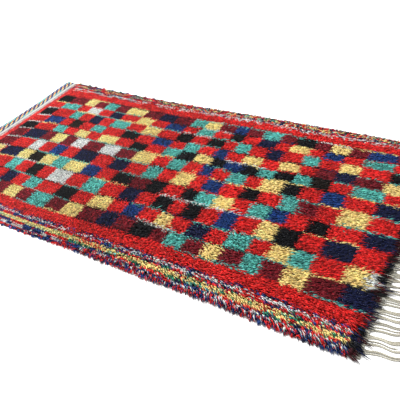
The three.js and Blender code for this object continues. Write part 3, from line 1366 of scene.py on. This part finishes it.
        # The pile is lower at its rim and where it is trodden beside the heading.
        tip_z = top * (1 - 0.5 * np.maximum.reduce([rim, 0.6 * last, 1.1 * trodden]))
        handful = scatter(np.floor(x / self.handful) * 31 + np.floor(y / self.handful) * 17)
        uneven = generator.normal(0, self.tip_spread, count) * (1 + 1.6 * shag)
        tip_z = np.maximum(tip_z + uneven - self.handful_drop * handful, self.lowest_tip)
        reach = blend(*self.reach, shag) * np.exp(generator.normal(0, self.reach_spread, count))
        bunch = np.floor(y / self.chart.bunch)
        ragged = 0.1 + 0.5 * scatter(bunch + 0.3)
        reach = reach * (1 + ragged * last - blend(0.0, 0.55, shag) * rim)
        tips_xy = np.column_stack([on_x, on_y]) + way * reach[:, None]
        share = blend(*self.clump_share, shag) * (1 - 0.7 * np.maximum(rim, last))
        tips_xy += self.clump_pull(tips_xy, share)
        # The last rows are drawn into bunches that lie over the fringe strip.
        tips_xy[:, 1] += self.bunch_share * last * ((bunch + 0.5) * self.chart.bunch - y)
        tips = np.column_stack([tips_xy, tip_z])
        roots = np.column_stack([on_x, on_y, np.minimum(root_z, tip_z - 0.001)])
        knees = blend(roots, tips, np.array([self.knee_place, self.knee_place, 1.0]))
        knees[:, 2] += blend(0.0, self.knee_rise, shag)
        radii = blend(*self.radius, shag) * (1 + 0.3 * border * shag)
        radii = radii * generator.uniform(0.75, 1.25, count)
        return Tufts(roots, knees, tips, radii, colours), in_row

    def clump_pull(self, tips: Array, share: Array) -> Array:
        """Gives how far each tip is drawn towards the middle of its clump.

        Args:
            tips: Places of the tips on the floor.
            share: How much of the way each is drawn.

        Returns:
            One move for each tip.
        """
        cell = np.floor(tips / self.clump)
        seed = cell[:, 0] * 57 + cell[:, 1] * 131
        offset = np.column_stack([scatter(seed), scatter(seed + 0.5)]) - 0.5
        centre = (cell + 0.5 + 0.5 * offset) * self.clump
        return (centre - tips) * share[:, None]

    def locks(self, row: LockRow, number: int) -> Tufts:
        """Makes the loose locks of one row, each a bundle of yarn ends round the solid's lock.

        Args:
            row: The row.
            number: Its place among the rows.

        Returns:
            The yarn ends of all its locks.
        """
        layout, generator = self.layout, np.random.default_rng(40 + number)
        k = np.arange(row.count)
        seed = 100 * number + k
        pitch = (row.end - row.start) / (row.count - 1)
        place = row.start + pitch * (k + 0.3 * (scatter(seed) - 0.5))
        bearing = row.bearing + row.turn + self.lock_turn * (scatter(seed + 0.5) - 0.5)
        reach = row.reach * (0.7 + 0.6 * scatter(seed + 0.25))
        if row.edge == "end":
            spots = np.column_stack([np.full(row.count, layout.pile_end), place])
        else:
            side = 1 if row.edge == "far" else -1
            spots = np.column_stack([place, layout.side_edge(side, place)])
        many = self.strands_in_lock
        spots = np.repeat(spots, many, 0)
        bearing, reach = np.repeat(bearing, many), np.repeat(reach, many)
        count = len(spots)
        forward = np.column_stack([np.cos(bearing), np.sin(bearing)])
        sideways = np.column_stack([-forward[:, 1], forward[:, 0]])
        spread = generator.uniform(-0.5, 0.5, count)
        rooted = spots - forward * generator.uniform(*self.lock_root, count)[:, None]
        rooted = rooted + sideways * (row.width * spread)[:, None]
        length = reach * generator.uniform(0.5, 1.0, count) * self.lock_share
        aside = row.width * self.lock_taper * spread
        ends = spots + forward * length[:, None] + sideways * aside[:, None]
        rise = row.rise + generator.uniform(*self.lock_rise, count)
        roots = np.column_stack([rooted, rise])
        tips = np.column_stack([ends, row.tip + generator.uniform(0, self.lock_tip_spread, count)])
        knees = (roots + tips) / 2
        knees[:, 2] = rise + 0.001
        x = np.clip(rooted[:, 0], layout.pile_start, layout.pile_end - 0.004)
        inside = layout.half_width - 0.003
        colours = self.chart.tones(x, np.clip(rooted[:, 1], -inside, inside), generator)
        radii = self.lock_radius * generator.uniform(0.8, 1.2, count)
        return Tufts(roots, knees, tips, radii, colours)

    def build(self, wool: Finish) -> list[Piece]:
        """Builds the bed, the yarn ends in zones along the rug, and the locks at its rim.

        Args:
            wool: The finish of them all.

        Returns:
            The pieces, with the bed first.
        """
        made = [self.bed(wool)]
        tufts, in_row = self.tufts()
        rows = len(tufts) // in_row
        cuts = in_row * np.linspace(0, rows, self.zones + 1).round().astype(int)
        for number, (low, high) in enumerate(zip(cuts[:-1], cuts[1:])):
            pieces = YarnPieces()
            waist = blend(*self.waist, number / (self.zones - 1))
            tufts.part(slice(low, high)).add_to(pieces, spindle(waist))
            made.append(pieces.build(f"pile_ends_{number + 1}", wool, in_row))
        locks = YarnPieces()
        for number, row in enumerate(LOCK_ROWS):
            self.locks(row, number).add_to(locks, spindle(self.waist[1]), self.lock_root_shade)
        made.append(locks.build("rim_locks", wool, 36))
        return made


@dataclass(frozen=True)
class HeadingBand:
    """A band of the heading: how many ribs it has, its width, and the height of crests and valleys."""

    ribs: int
    width: float
    crest: float
    valley: float


@dataclass(frozen=True)
class TwinedRow:
    """A row of twining: the dyes that its coloured strand takes in turn, and its plain strand's."""

    coloured: tuple[Dye, ...]
    plain: Dye


@dataclass
class FlatWeave:
    """Weft-faced plain weave: wefts beaten close over the warps, laid across the rug."""

    layout: ClothLayout
    warp_pitch: float = 0.005
    wave: float = 0.00045
    margin: float = 0.003
    overlap: float = 1.12
    flatness: float = 0.75

    def across(self) -> Array:
        """Gives the places of the warps across the cloth."""
        steps = round((self.layout.width - 2 * self.margin) / self.warp_pitch)
        return np.linspace(-1, 1, steps + 1) * (self.layout.half_width - self.margin)

    def ticks(self, wefts: int, run: int) -> Array:
        """Gives a number from 0 to 1 to each run of some warps in each weft, to pick its dye."""
        warps = np.arange(len(self.across()))
        return scatter(np.floor(warps[None] / run) * 1.3 + np.arange(wefts)[:, None] * 17)

    def add_wefts(
        self, pieces: YarnPieces, lines: Array, heights: Array, dyes: Array, is_strip: bool
    ) -> None:
        """Adds wefts to some pieces.

        Args:
            pieces: The pieces to add to.
            lines: Where each weft lies along the straight cloth.
            heights: How high each weft's middle lies.
            dyes: A dye code for each weft and warp.
            is_strip: Whether they lie in the fringe strip, not in the heading.
        """
        y = np.broadcast_to(self.across(), (len(lines), len(self.across())))
        x = np.broadcast_to(lines[:, None], y.shape)
        turn = (np.arange(len(lines))[:, None] + np.arange(y.shape[1])[None]) % 2
        z = heights[:, None] + self.wave * (2 * turn - 1)
        on_x, on_y = (self.layout.strip_place if is_strip else self.layout.heading_place)(x, y)
        half = np.full(y.shape, 0.5 * np.diff(lines).mean() * self.overlap)
        # Where a weft rides over a warp it is painted lighter, and where it dips under one it is painted
        # darker: painted light and shade, with a little random tone.
        shade = 1 + 0.12 * (turn - 0.5) + 0.1 * (scatter(dyes * 3 + np.arange(y.shape[1])) - 0.5)
        colours = flat_light(dyes) * shade[..., None]
        pieces.add_cords(np.stack([on_x, on_y, z], -1), half, colours, 4, self.flatness)


@dataclass
class Heading:
    """The flat-woven end without a fringe: twined rows, a white stripe and thin ticked stripes."""

    layout: ClothLayout
    bands: tuple[HeadingBand, ...] = (
        HeadingBand(5, 0.0620, 0.0054, 0.0034),
        HeadingBand(2, 0.0260, 0.0039, 0.0032),
        HeadingBand(2, 0.0167, 0.0043, 0.0031),
    )
    rows: tuple[TwinedRow, ...] = (
        TwinedRow((BLUE, TEAL, BLUE), NATURAL),
        TwinedRow((NAVY, BLUE, TEAL), NATURAL),
        TwinedRow((NAVY, BLUE, NAVY), ORANGE),
        TwinedRow((BLUE, NAVY, BLUE), STRAW),
        TwinedRow((TEAL, NAVY, BLUE), NATURAL),
    )
    twist_pitch: float = 0.050
    twist_steps: int = 10
    row_shift: float = 0.36
    margin: float = 0.004
    throw: float = 0.27
    strand_rise: float = 0.0014
    strand_radius: float = 0.0044
    strand_flatness: float = 0.55
    dye_run: float = 0.11
    white_wefts: int = 8
    ticked_wefts: int = 5
    tick_run: int = 4
    sunk: float = 0.0012
    white_sunk: float = 0.0003
    ticked_sunk: float = 0.0002
    ground_light: float = 0.7

    def slab(self, material: Finish) -> Piece:
        """Makes the closed ground of the heading, whose ribs lie under its cords and wefts.

        Args:
            material: The finish.

        Returns:
            The new piece.
        """
        layout = self.layout
        marks, heights = [layout.cloth_start], [self.bands[0].valley]
        for band in self.bands:
            step = band.width / band.ribs / 2
            for k in range(2 * band.ribs):
                marks.append(marks[-1] + step)
                heights.append(band.valley if k % 2 else band.crest)
        light = self.ground_light * DYE_LIGHT[code(NATURAL)]
        marks, heights = np.array(marks), np.array(heights) - self.sunk
        return ribbed_ground("heading_ground", marks, heights, layout, layout.heading_place, light, material)

    def twining(self, material: Finish) -> Piece:
        """Makes the twined rows, each two strands that turn about each other between the warps.

        Args:
            material: The finish.

        Returns:
            The new piece.
        """
        layout = self.layout
        pieces = YarnPieces()
        span = layout.width - 2 * self.margin
        steps = round(span / self.twist_pitch * self.twist_steps)
        y = np.linspace(-span / 2, span / 2, steps + 1)
        band = self.bands[0]
        rib = band.width / band.ribs
        for number, row in enumerate(self.rows):
            for strand in (0, 1):
                # Each row starts a little later than the one outside it, so the stitches run slantwise.
                turn = 2 * np.pi * (y / self.twist_pitch + self.row_shift * number + strand / 2)
                x = layout.cloth_start + rib * (number + 0.5) + self.throw * rib * np.cos(turn)
                z = band.crest - self.strand_rise + self.strand_rise * np.sin(turn)
                on_x, on_y = layout.heading_place(x, y)
                run = np.floor(y / self.dye_run + scatter(number)).astype(int)
                dyes = np.array([code(dye) for dye in row.coloured])[(run + number) % len(row.coloured)]
                if strand:
                    dyes = np.full(len(y), code(row.plain))
                colours = flat_light(dyes) * (0.92 + 0.16 * scatter(run * 7 + number))[:, None]
                path = np.stack([on_x, on_y, z], -1)
                radii = np.full((1, len(y)), self.strand_radius)
                pieces.add_cords(path[None], radii, colours[None], 6, self.strand_flatness)
        return pieces.build("heading_twining", material, len(self.rows) * 2)

    def stripes(self, material: Finish) -> Piece:
        """Makes the wefts of the white stripe and of the thin ticked stripes beside the pile.

        Args:
            material: The finish.

        Returns:
            The new piece.
        """
        weave = FlatWeave(self.layout)
        pieces = YarnPieces()
        start = self.layout.cloth_start + self.bands[0].width
        white, ticked = self.bands[1:]
        count = self.white_wefts
        lines = start + white.width * (np.arange(count) + 0.5) / count
        dyes = np.full((count, len(weave.across())), code(CREAM))
        dyes[-2:] = code(NATURAL)
        weave.add_wefts(pieces, lines, np.full(count, white.valley - self.white_sunk), dyes, False)
        count = self.ticked_wefts
        lines = start + white.width + ticked.width * (np.arange(count) + 0.5) / count
        rosy = ((NATURAL, 2), (ROSE, 4), (MAROON, 2), (NAVY, 1))
        pale = ((CREAM, 2), (ROSE, 4), (BLUE, 1))
        ticks = weave.ticks(count, self.tick_run)
        dyes = np.where(np.arange(count)[:, None] % 4 == 0, pick(rosy, ticks), pick(pale, ticks))
        weave.add_wefts(pieces, lines, np.full(count, ticked.valley - self.ticked_sunk), dyes, False)
        return pieces.build("heading_stripes", material, self.white_wefts + count)

    def build(self, weft: Finish) -> list[Piece]:
        """Builds the ground, the twining and the stripes."""
        return [self.slab(weft), self.twining(weft), self.stripes(weft)]


@dataclass
class FringeEnd:
    """The narrow woven strip at the other end, and the warps that hang from it as a fringe."""

    layout: ClothLayout
    length: float = 0.155
    groups: int = 40
    group_sizes: tuple[int, ...] = (3, 2, 3, 2, 2, 3)
    strand_pitch: float = 0.009
    strand_root: float = 0.004
    group_draw: float = 0.0045
    loop_every: int = 4
    loop_reach: float = 1.3
    loop_root: float = 0.002
    loose: float = 0.010
    sweep: float = 0.030
    wave_height: float = 0.012
    wave_span: float = 0.720
    wave_turns: float = 1.1
    tip_hook: float = 0.015
    hook_start: float = 0.55
    hook_span: float = 190
    stray: float = 0.007
    stray_span: float = 0.117
    stray_turns: float = 0.6
    shortest: float = 0.86
    length_spread: float = 0.26
    single_lengths: tuple[float, float] = (0.5, 0.95)
    tones: tuple[float, float] = (0.75, 1.1)
    ply_shade: float = 0.12
    fray_start: float = 0.86
    fray: float = 1.1
    taper_start: float = 0.9
    taper: float = 0.55
    ply_radius: float = 0.0018
    twist_radius: float = 0.0014
    twist_pitch: float = 0.018
    steps: int = 46
    margin: float = 0.020
    rib_shares: tuple[float, ...] = (0, 0.2, 0.5, 0.8, 1)
    rib_heights: tuple[float, ...] = (0.0034, 0.0044, 0.0036, 0.0046, 0.0049)
    sunk: float = 0.001
    weft_sunk: float = 0.0009
    wefts_in_strip: int = 12
    dye_run: int = 25
    ground_light: float = 0.6

    def drift(self, y: Array, distance: Array) -> Array:
        """Gives how far the fringe is swept sideways.

        Args:
            y: Where a strand leaves the strip.
            distance: Distances along it from the strip.

        Returns:
            One distance for each place.
        """
        share = np.maximum(distance, 0) / self.length
        wave = np.sin(2 * np.pi * (self.wave_turns * share + y / self.wave_span))
        hook = smooth_step(self.hook_start, 1, share) * (0.4 + np.sin(y / MM / self.hook_span + 1))
        stray = self.stray * share * np.sin(2 * np.pi * (y / self.stray_span + self.stray_turns * share))
        return self.sweep * share + self.wave_height * share * wave - self.tip_hook * hook + stray

    def strand_path(self, y: float, length: float, draw: float, height: float) -> Array:
        """Gives the middle line of one strand.

        Args:
            y: Where it leaves the strip.
            length: How far it reaches from the strip.
            draw: How far it is drawn in towards its group's middle.
            height: How high its middle lies above the floor.

        Returns:
            Its points.
        """
        share = np.linspace(0, 1, self.steps + 1)
        distance = share * (length + self.strand_root) - self.strand_root
        start = self.layout.pile_end + self.layout.gap + self.layout.strip_length + self.layout.end_bow(y)
        across = y - draw * smooth_step(0, 0.2, share) + self.drift(y, distance)
        return np.column_stack([start + distance, across, np.full(len(share), height)])

    def loop_path(self, first: Array, second: Array) -> Array:
        """Gives the uncut turn that joins two strands at their tips.

        Args:
            first: The points of one strand.
            second: The points of its neighbour.

        Returns:
            The turn's points.
        """
        a, b = first[-1], second[-1]
        out = unit(first[-1] - first[-2] + second[-1] - second[-2])
        radius = np.linalg.norm(a - b) / 2
        angle = np.linspace(0, np.pi, self.steps + 1)[:, None]
        middle = (a + b) / 2
        onward = out * (np.sin(angle) * radius * self.loop_reach - self.loop_root)
        return middle + unit(a - middle) * np.cos(angle) * radius + onward

    def add_plies(
        self, pieces: YarnPieces, paths: Array, generator: np.random.Generator, frayed: bool
    ) -> None:
        """Adds yarns of two plies that twist about each other.

        Args:
            pieces: The pieces to add to.
            paths: The middle lines, as (yarns, stations, 3).
            generator: The source of the unevenness between yarns.
            frayed: Whether the plies part at the tips.
        """
        travelled = np.linalg.norm(np.diff(paths, axis=1), axis=2).cumsum(1)
        travelled = np.concatenate([np.zeros((len(paths), 1)), travelled], 1)
        share = travelled / travelled[:, -1:]
        ahead = unit(np.gradient(paths, axis=1))
        sideways = np.stack([-ahead[..., 1], ahead[..., 0], np.zeros(share.shape)], -1)
        phase = generator.uniform(0, 2 * np.pi, len(paths))[:, None]
        tone = DYE_LIGHT[code(GREIGE)] * generator.uniform(*self.tones, len(paths))[:, None]
        opening = smooth_step(self.fray_start, 1, share) * (self.fray if frayed else 0)
        taper = 1 - (self.taper * smooth_step(self.taper_start, 1, share) if frayed else 0)
        for ply in (0, 1):
            turn = 2 * np.pi * travelled / self.twist_pitch + phase + ply * np.pi
            beside = (self.twist_radius * (1 + opening) * np.cos(turn))[..., None] * sideways
            above = (self.twist_radius * 0.9 * np.sin(turn))[..., None] * np.array([0, 0, 1.0])
            radii = np.broadcast_to(self.ply_radius * taper, share.shape)
            # The second ply is painted darker than the first: painted shade on one of two copies of the same
            # yarn.
            shade = 1 - self.ply_shade * ply
            colours = np.broadcast_to((tone * shade)[:, None, :], paths.shape)
            pieces.add_cords(paths + beside + above, radii, colours, 3)

    def fringe(self, material: Finish) -> Piece:
        """Makes the fringe: plied warps in groups, a few uncut loops, and single warps between.

        Args:
            material: The finish.

        Returns:
            The new piece.
        """
        generator = np.random.default_rng(21)
        pieces = YarnPieces()
        cut, looped, turns = [], [], []
        pitch = (self.layout.width - 2 * self.margin) / self.groups
        height = self.ply_radius + self.twist_radius
        for group in range(self.groups):
            size = self.group_sizes[group % len(self.group_sizes)]
            centre = -self.layout.half_width + self.margin + pitch * (group + 0.5)
            length = self.length * (self.shortest + self.length_spread * float(scatter(900 + group)))
            has_loop = group % self.loop_every == 0
            paths = []
            for k in range(size):
                offset = k - (size - 1) / 2
                loose = 0.0 if has_loop else self.loose * (float(scatter(group * 5 + k)) - 0.5)
                y = centre + offset * self.strand_pitch
                draw = 0.0 if has_loop and k < 2 else offset * self.group_draw
                paths.append(self.strand_path(y, length + loose, draw, height))
            if has_loop:
                turns.append(self.loop_path(paths[0], paths[1]))
                looped += paths[:2]
                paths = paths[2:]
            cut += paths
            if group % 2:
                y = centre + (size / 2 + 0.7) * self.strand_pitch
                reach = length * float(generator.uniform(*self.single_lengths))
                cut.append(self.strand_path(y, reach, 0.0, height))
        self.add_plies(pieces, np.array(cut), generator, True)
        self.add_plies(pieces, np.array(looped), generator, False)
        self.add_plies(pieces, np.array(turns), generator, False)
        return pieces.build("warp_fringe_yarns", material, 24)

    def strip(self, material: Finish) -> Piece:
        """Makes the closed ground of the woven strip.

        Args:
            material: The finish.

        Returns:
            The new piece.
        """
        layout = self.layout
        marks = layout.pile_end + layout.gap + layout.strip_length * np.array(self.rib_shares)
        heights = np.array(self.rib_heights) - self.sunk
        light = self.ground_light * DYE_LIGHT[code(GREIGE)]
        place = layout.strip_place
        return ribbed_ground("fringe_strip_ground", marks, heights, layout, place, light, material)

    def wefts(self, material: Finish) -> Piece:
        """Makes the wefts of the woven strip: undyed, and rose with some red in its far half.

        Args:
            material: The finish.

        Returns:
            The new piece.
        """
        weave = FlatWeave(self.layout)
        pieces = YarnPieces()
        count = self.wefts_in_strip
        share = (np.arange(count) + 0.5) / count
        lines = self.layout.pile_end + self.layout.gap + self.layout.strip_length * share
        heights = np.interp(share, self.rib_shares, self.rib_heights) - self.weft_sunk
        warps = np.arange(len(weave.across()))
        chance = weave.ticks(count, self.dye_run)
        rosy = pick(((ROSE, 6), (MADDER, 1), (NATURAL, 2)), chance)
        plain = pick(((GREIGE, 4), (NATURAL, 3)), chance)
        # The rose weft was used for the far half only.
        dyes = np.where(warps[None] > (0.45 + 0.1 * chance) * len(warps), rosy, plain)
        weave.add_wefts(pieces, lines, heights, dyes, True)
        return pieces.build("fringe_strip_wefts", material, count)

    def build(self, weft: Finish, warp: Finish) -> list[Piece]:
        """Builds the strip, its wefts and the fringe."""
        return [self.strip(weft), self.wefts(weft), self.fringe(warp)]


@dataclass(frozen=True)
class Studio:
    """The pale floor, the soft light and the camera at the photograph's angle."""

    place: tuple[float, float, float] = (1.6556, -1.9837, 1.7664)
    azimuth: float = -35.17
    elevation: float = 38.23
    roll: float = -7.90
    lens: float = 47.55
    sensor: float = 36.0
    floor_colour: str = "#f7f7f6"
    floor_size: float = 30
    floor_roughness: float = 0.9
    surround: float = 0.55
    lamp_place: tuple[float, float, float] = (-5.0, 3.5, 10.0)
    lamp_size: float = 4.5
    lamp_power: float = 2600

    def camera(self) -> bpy.types.Object:
        """Makes the scene's camera.

        Returns:
            The camera.
        """
        data = bpy.data.cameras.new("camera")
        data.lens = self.lens
        data.sensor_width = self.sensor
        camera = placed("camera", data)
        turn, down = math.radians(self.azimuth), math.radians(self.elevation)
        level = Vector((math.sin(turn), math.cos(turn), 0)) * math.cos(down)
        forward = level - Vector((0, 0, math.sin(down)))
        aimed = forward.to_track_quat("-Z", "Y").to_matrix().to_4x4()
        rolled = aimed @ Matrix.Rotation(math.radians(self.roll), 4, "Z")
        camera.matrix_world = Matrix.Translation(self.place) @ rolled
        bpy.context.scene.camera = camera
        return camera

    def floor(self) -> bpy.types.Object:
        """Makes the plain pale floor under the rug.

        Returns:
            The floor.
        """
        form = bmesh.new()
        bmesh.ops.create_grid(form, x_segments=1, y_segments=1, size=self.floor_size)
        mesh = bpy.data.meshes.new("floor")
        form.to_mesh(mesh)
        form.free()
        # Matt white paint: an even pale ground with a soft shadow
        paint = bpy.data.materials.new("floor_paint")
        paint.use_nodes = True
        surface = paint.node_tree.nodes["Principled BSDF"]
        surface.inputs["Base Color"].default_value = (*linear(self.floor_colour), 1)
        surface.inputs["Roughness"].default_value = self.floor_roughness
        mesh.materials.append(paint)
        floor = placed("floor", mesh)
        return floor

    def lights(self) -> None:
        """Makes an even white surround and one large soft light above the far left."""
        world = bpy.data.worlds.new("studio")
        world.use_nodes = True
        background = world.node_tree.nodes["Background"]
        background.inputs["Color"].default_value = (1, 1, 1, 1)
        background.inputs["Strength"].default_value = self.surround
        bpy.context.scene.world = world
        data = bpy.data.lights.new("softbox", "AREA")
        data.shape = "DISK"
        data.size = self.lamp_size
        data.energy = self.lamp_power
        lamp = placed("softbox", data)
        lamp.location = self.lamp_place
        lamp.rotation_euler = (-Vector(self.lamp_place)).to_track_quat("-Z", "Y").to_euler()

    def build(self) -> None:
        """Sets up camera, floor, light and plain colour handling."""
        self.camera()
        self.floor()
        self.lights()
        bpy.context.scene.view_settings.view_transform = "Standard"


def attach(pieces: list[Piece], node: str) -> None:
    """Fixes a sub-assembly to the rug in place of its solid.

    Args:
        pieces: The pieces, with the sheet of cloth first.
        node: The solid that they replace.
    """
    for piece in pieces:
        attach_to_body(piece, "root")
        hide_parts(node)


def main() -> None:
    """Builds the studio and the rug's pieces in order."""
    logging.basicConfig(level=logging.INFO, format="%(message)s")
    Studio().build()
    layout = ClothLayout()
    # Wool knots: matt, with dark hollows between the ends
    wool = DyedWool("hand_spun_dyed_wool").material()
    # Weft: the same wool, beaten flat, so smoother and without bloom
    weft = DyedWool("beaten_wool_weft", roughness=0.85, sheen=0.03, fibre_depth=0.0003).material()
    # Warp: undyed plied wool, a little glossier where hands have drawn it
    warp = DyedWool("undyed_plied_wool_warp", roughness=0.8, sheen=0.05, mottle=0.1).material()
    pile = KnottedPile(layout, KnotChart(layout)).build(wool)
    attach(pile, "pile_body")
    heading = Heading(layout).build(weft)
    attach(heading, "flatweave_end")
    fringe = FringeEnd(layout).build(weft, warp)
    attach(fringe, "warp_fringe")


if __name__ == "__main__":
    main()
